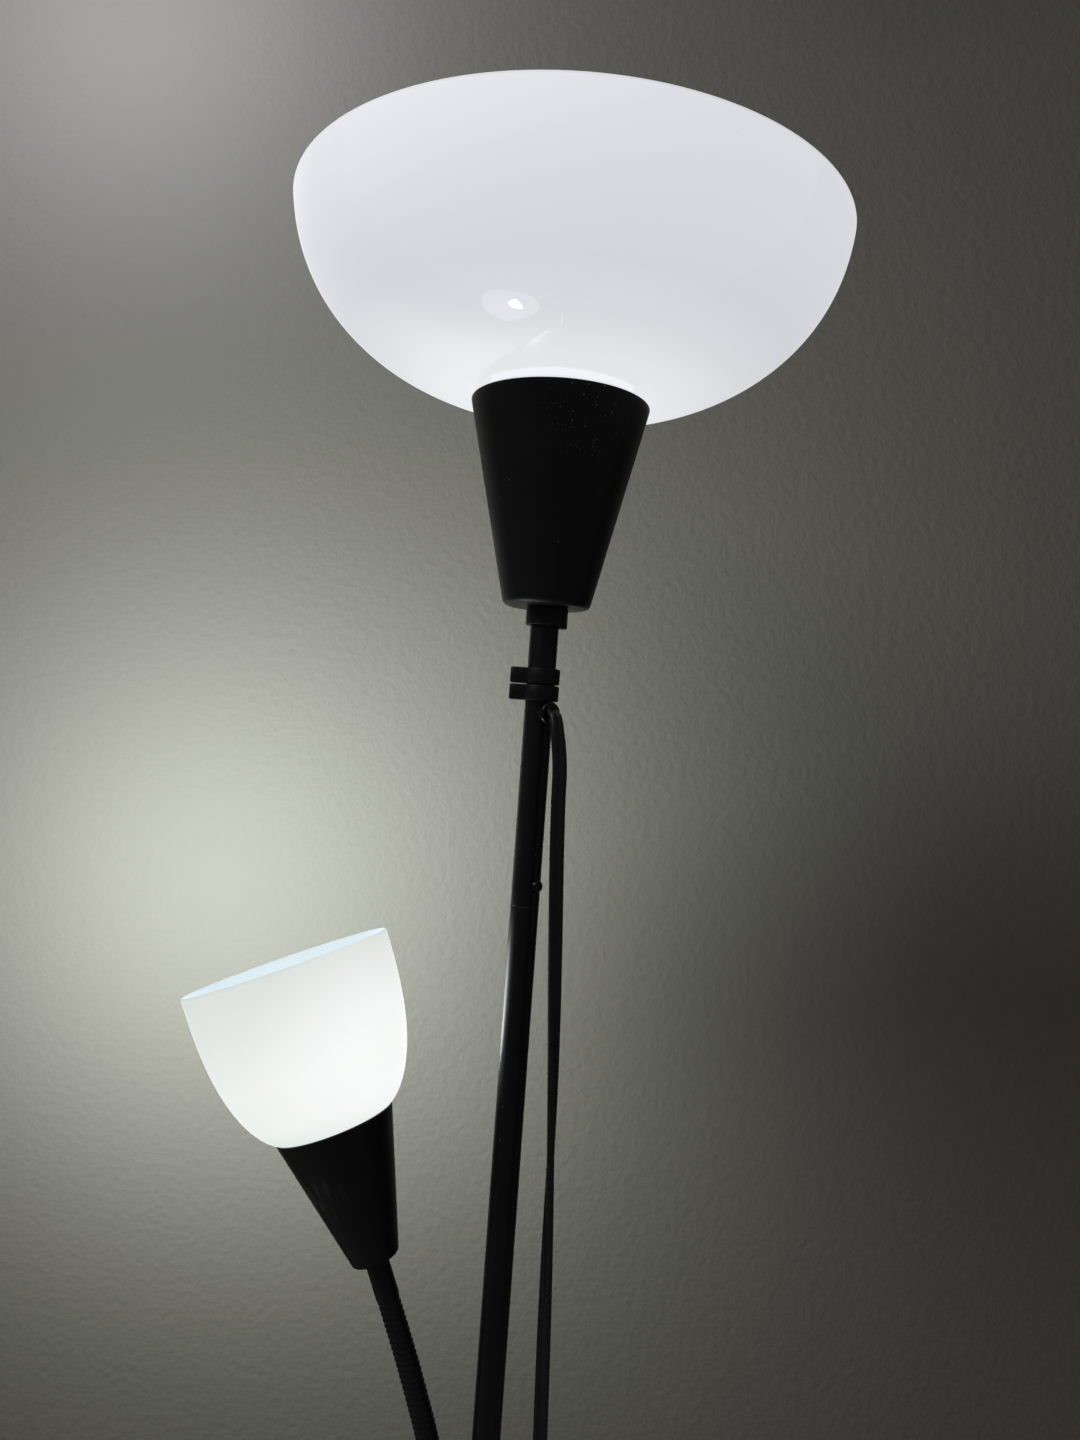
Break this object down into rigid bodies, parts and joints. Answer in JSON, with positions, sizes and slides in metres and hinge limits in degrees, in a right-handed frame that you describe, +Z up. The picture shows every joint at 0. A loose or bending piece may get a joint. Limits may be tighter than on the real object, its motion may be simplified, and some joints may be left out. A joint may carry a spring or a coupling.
{
  "type": "torchiere floor lamp",
  "caption": "Tall floor lamp with an upward opal bowl on a black cone, a slim black pole on a round base, and a small reading light on a gooseneck arm.",
  "frame": {"origin": "centre of the base pad's underside, on the floor", "axes": "+Z up the pole, +X to the right of a person facing the lamp, +Y away from that person; the reading light is on the -X side"},
  "size_m": [0.342, 0.3782, 1.8004],
  "materials": {
    "black_paint": "satin black paint",
    "black_plastic": "satin black moulding with a fine grain",
    "zinc_steel": "zinc plated",
    "cap_aluminium": "bright",
    "contact_brass": "plain",
    "cement": "rough cast",
    "foam_pad": "fine foam",
    "opal_plastic": "glossy opal white, lit from inside",
    "bulb_white": "frosted white",
    "cord_pvc": "semi-gloss vinyl"
  },
  "bodies": {
    "lamp": {"base_cover": "black_paint", "pole_tube_1": "black_paint", "pole_tube_2": "black_paint", "pole_tube_3": "black_paint", "pole_tube_4": "black_paint", "pole_foot_bush": "black_plastic", "pole_top_bush": "black_plastic", "clamp_ring_lower": "black_plastic", "clamp_ring_upper": "black_plastic", "cord_grommet": "black_plastic", "arm_coupling": "black_plastic", "coupling_screw_1": "black_plastic", "coupling_screw_2": "black_plastic", "switch_body": "black_plastic", "cone_collar": "black_plastic", "uplight_cone": "black_plastic", "uplight_socket": "black_plastic", "uplight_shade_ring": "black_plastic", "base_washer": "zinc_steel", "base_nut": "zinc_steel", "base_stud": "zinc_steel", "pole_sleeve_1": "zinc_steel", "pole_sleeve_2": "zinc_steel", "snap_spring_1": "zinc_steel", "snap_spring_2": "zinc_steel", "uplight_nipple": "zinc_steel", "uplight_nut": "zinc_steel", "uplight_bulb_cap": "cap_aluminium", "uplight_socket_shell": "contact_brass", "plug_blade_left": "contact_brass", "plug_blade_right": "contact_brass", "base_weight": "cement", "base_pad": "foam_pad", "uplight_shade": "opal_plastic", "uplight_bulb": "bulb_white", "uplight_lead": "cord_pvc", "arm_lead": "cord_pvc", "cord_run": "cord_pvc", "cord_coil": "cord_pvc", "cord_tail": "cord_pvc", "plug_body": "cord_pvc"},
    "arm_base": {"arm_ferrule": "black_plastic", "gooseneck_1": "black_paint"},
    "arm_lower": {"gooseneck_2": "black_paint"},
    "arm_upper": {"gooseneck_3": "black_paint"},
    "reading_light": {"gooseneck_4": "black_paint", "reading_sleeve": "black_paint", "reading_nipple": "zinc_steel", "reading_nut": "zinc_steel", "reading_cone": "black_plastic", "reading_socket": "black_plastic", "reading_socket_shell": "contact_brass", "reading_bulb_cap": "cap_aluminium", "reading_bulb": "bulb_white", "reading_shade_ring": "black_plastic", "reading_shade": "opal_plastic"},
    "snap_1": {"snap_button_1": "black_paint"},
    "snap_2": {"snap_button_2": "black_paint"},
    "knob": {"switch_knob": "black_plastic"}
  },
  "joints": [
    {"name": "arm_swing", "type": "hinge", "parent": "lamp", "child": "arm_base", "pos_m": [-0.017, 0, 1.085], "axis": [0, 0, 1], "range_deg": [-85, 85]},
    {"name": "arm_bend_low", "type": "hinge", "parent": "arm_base", "child": "arm_lower", "pos_m": [-0.02005, 0.0006, 1.1171], "axis": [-0.1925, -0.9813, 0], "range_deg": [-3, 40]},
    {"name": "arm_bend_middle", "type": "hinge", "parent": "arm_lower", "child": "arm_upper", "pos_m": [-0.02897, 0.00235, 1.15811], "axis": [-0.1925, -0.9813, 0], "range_deg": [-3, 40]},
    {"name": "arm_bend_top", "type": "hinge", "parent": "arm_upper", "child": "reading_light", "pos_m": [-0.04463, 0.00542, 1.20125], "axis": [-0.1925, -0.9813, 0], "range_deg": [-3, 40]},
    {"name": "switch_turn", "type": "hinge", "parent": "lamp", "child": "knob", "pos_m": [0, -0.024, 1.068], "axis": [0, -1, 0], "continuous": true},
    {"name": "snap_press_1", "type": "slide", "parent": "lamp", "child": "snap_1", "axis": [0.7547, -0.6561, 0], "range_m": [-0.002, 0], "stiffness_N_per_m": 1500, "springref_m": 0.001, "deforming": ["snap_spring_1"]},
    {"name": "snap_press_2", "type": "slide", "parent": "lamp", "child": "snap_2", "axis": [0.7547, -0.6561, 0], "range_m": [-0.002, 0], "stiffness_N_per_m": 1500, "springref_m": 0.001, "deforming": ["snap_spring_2"]}
  ]
}
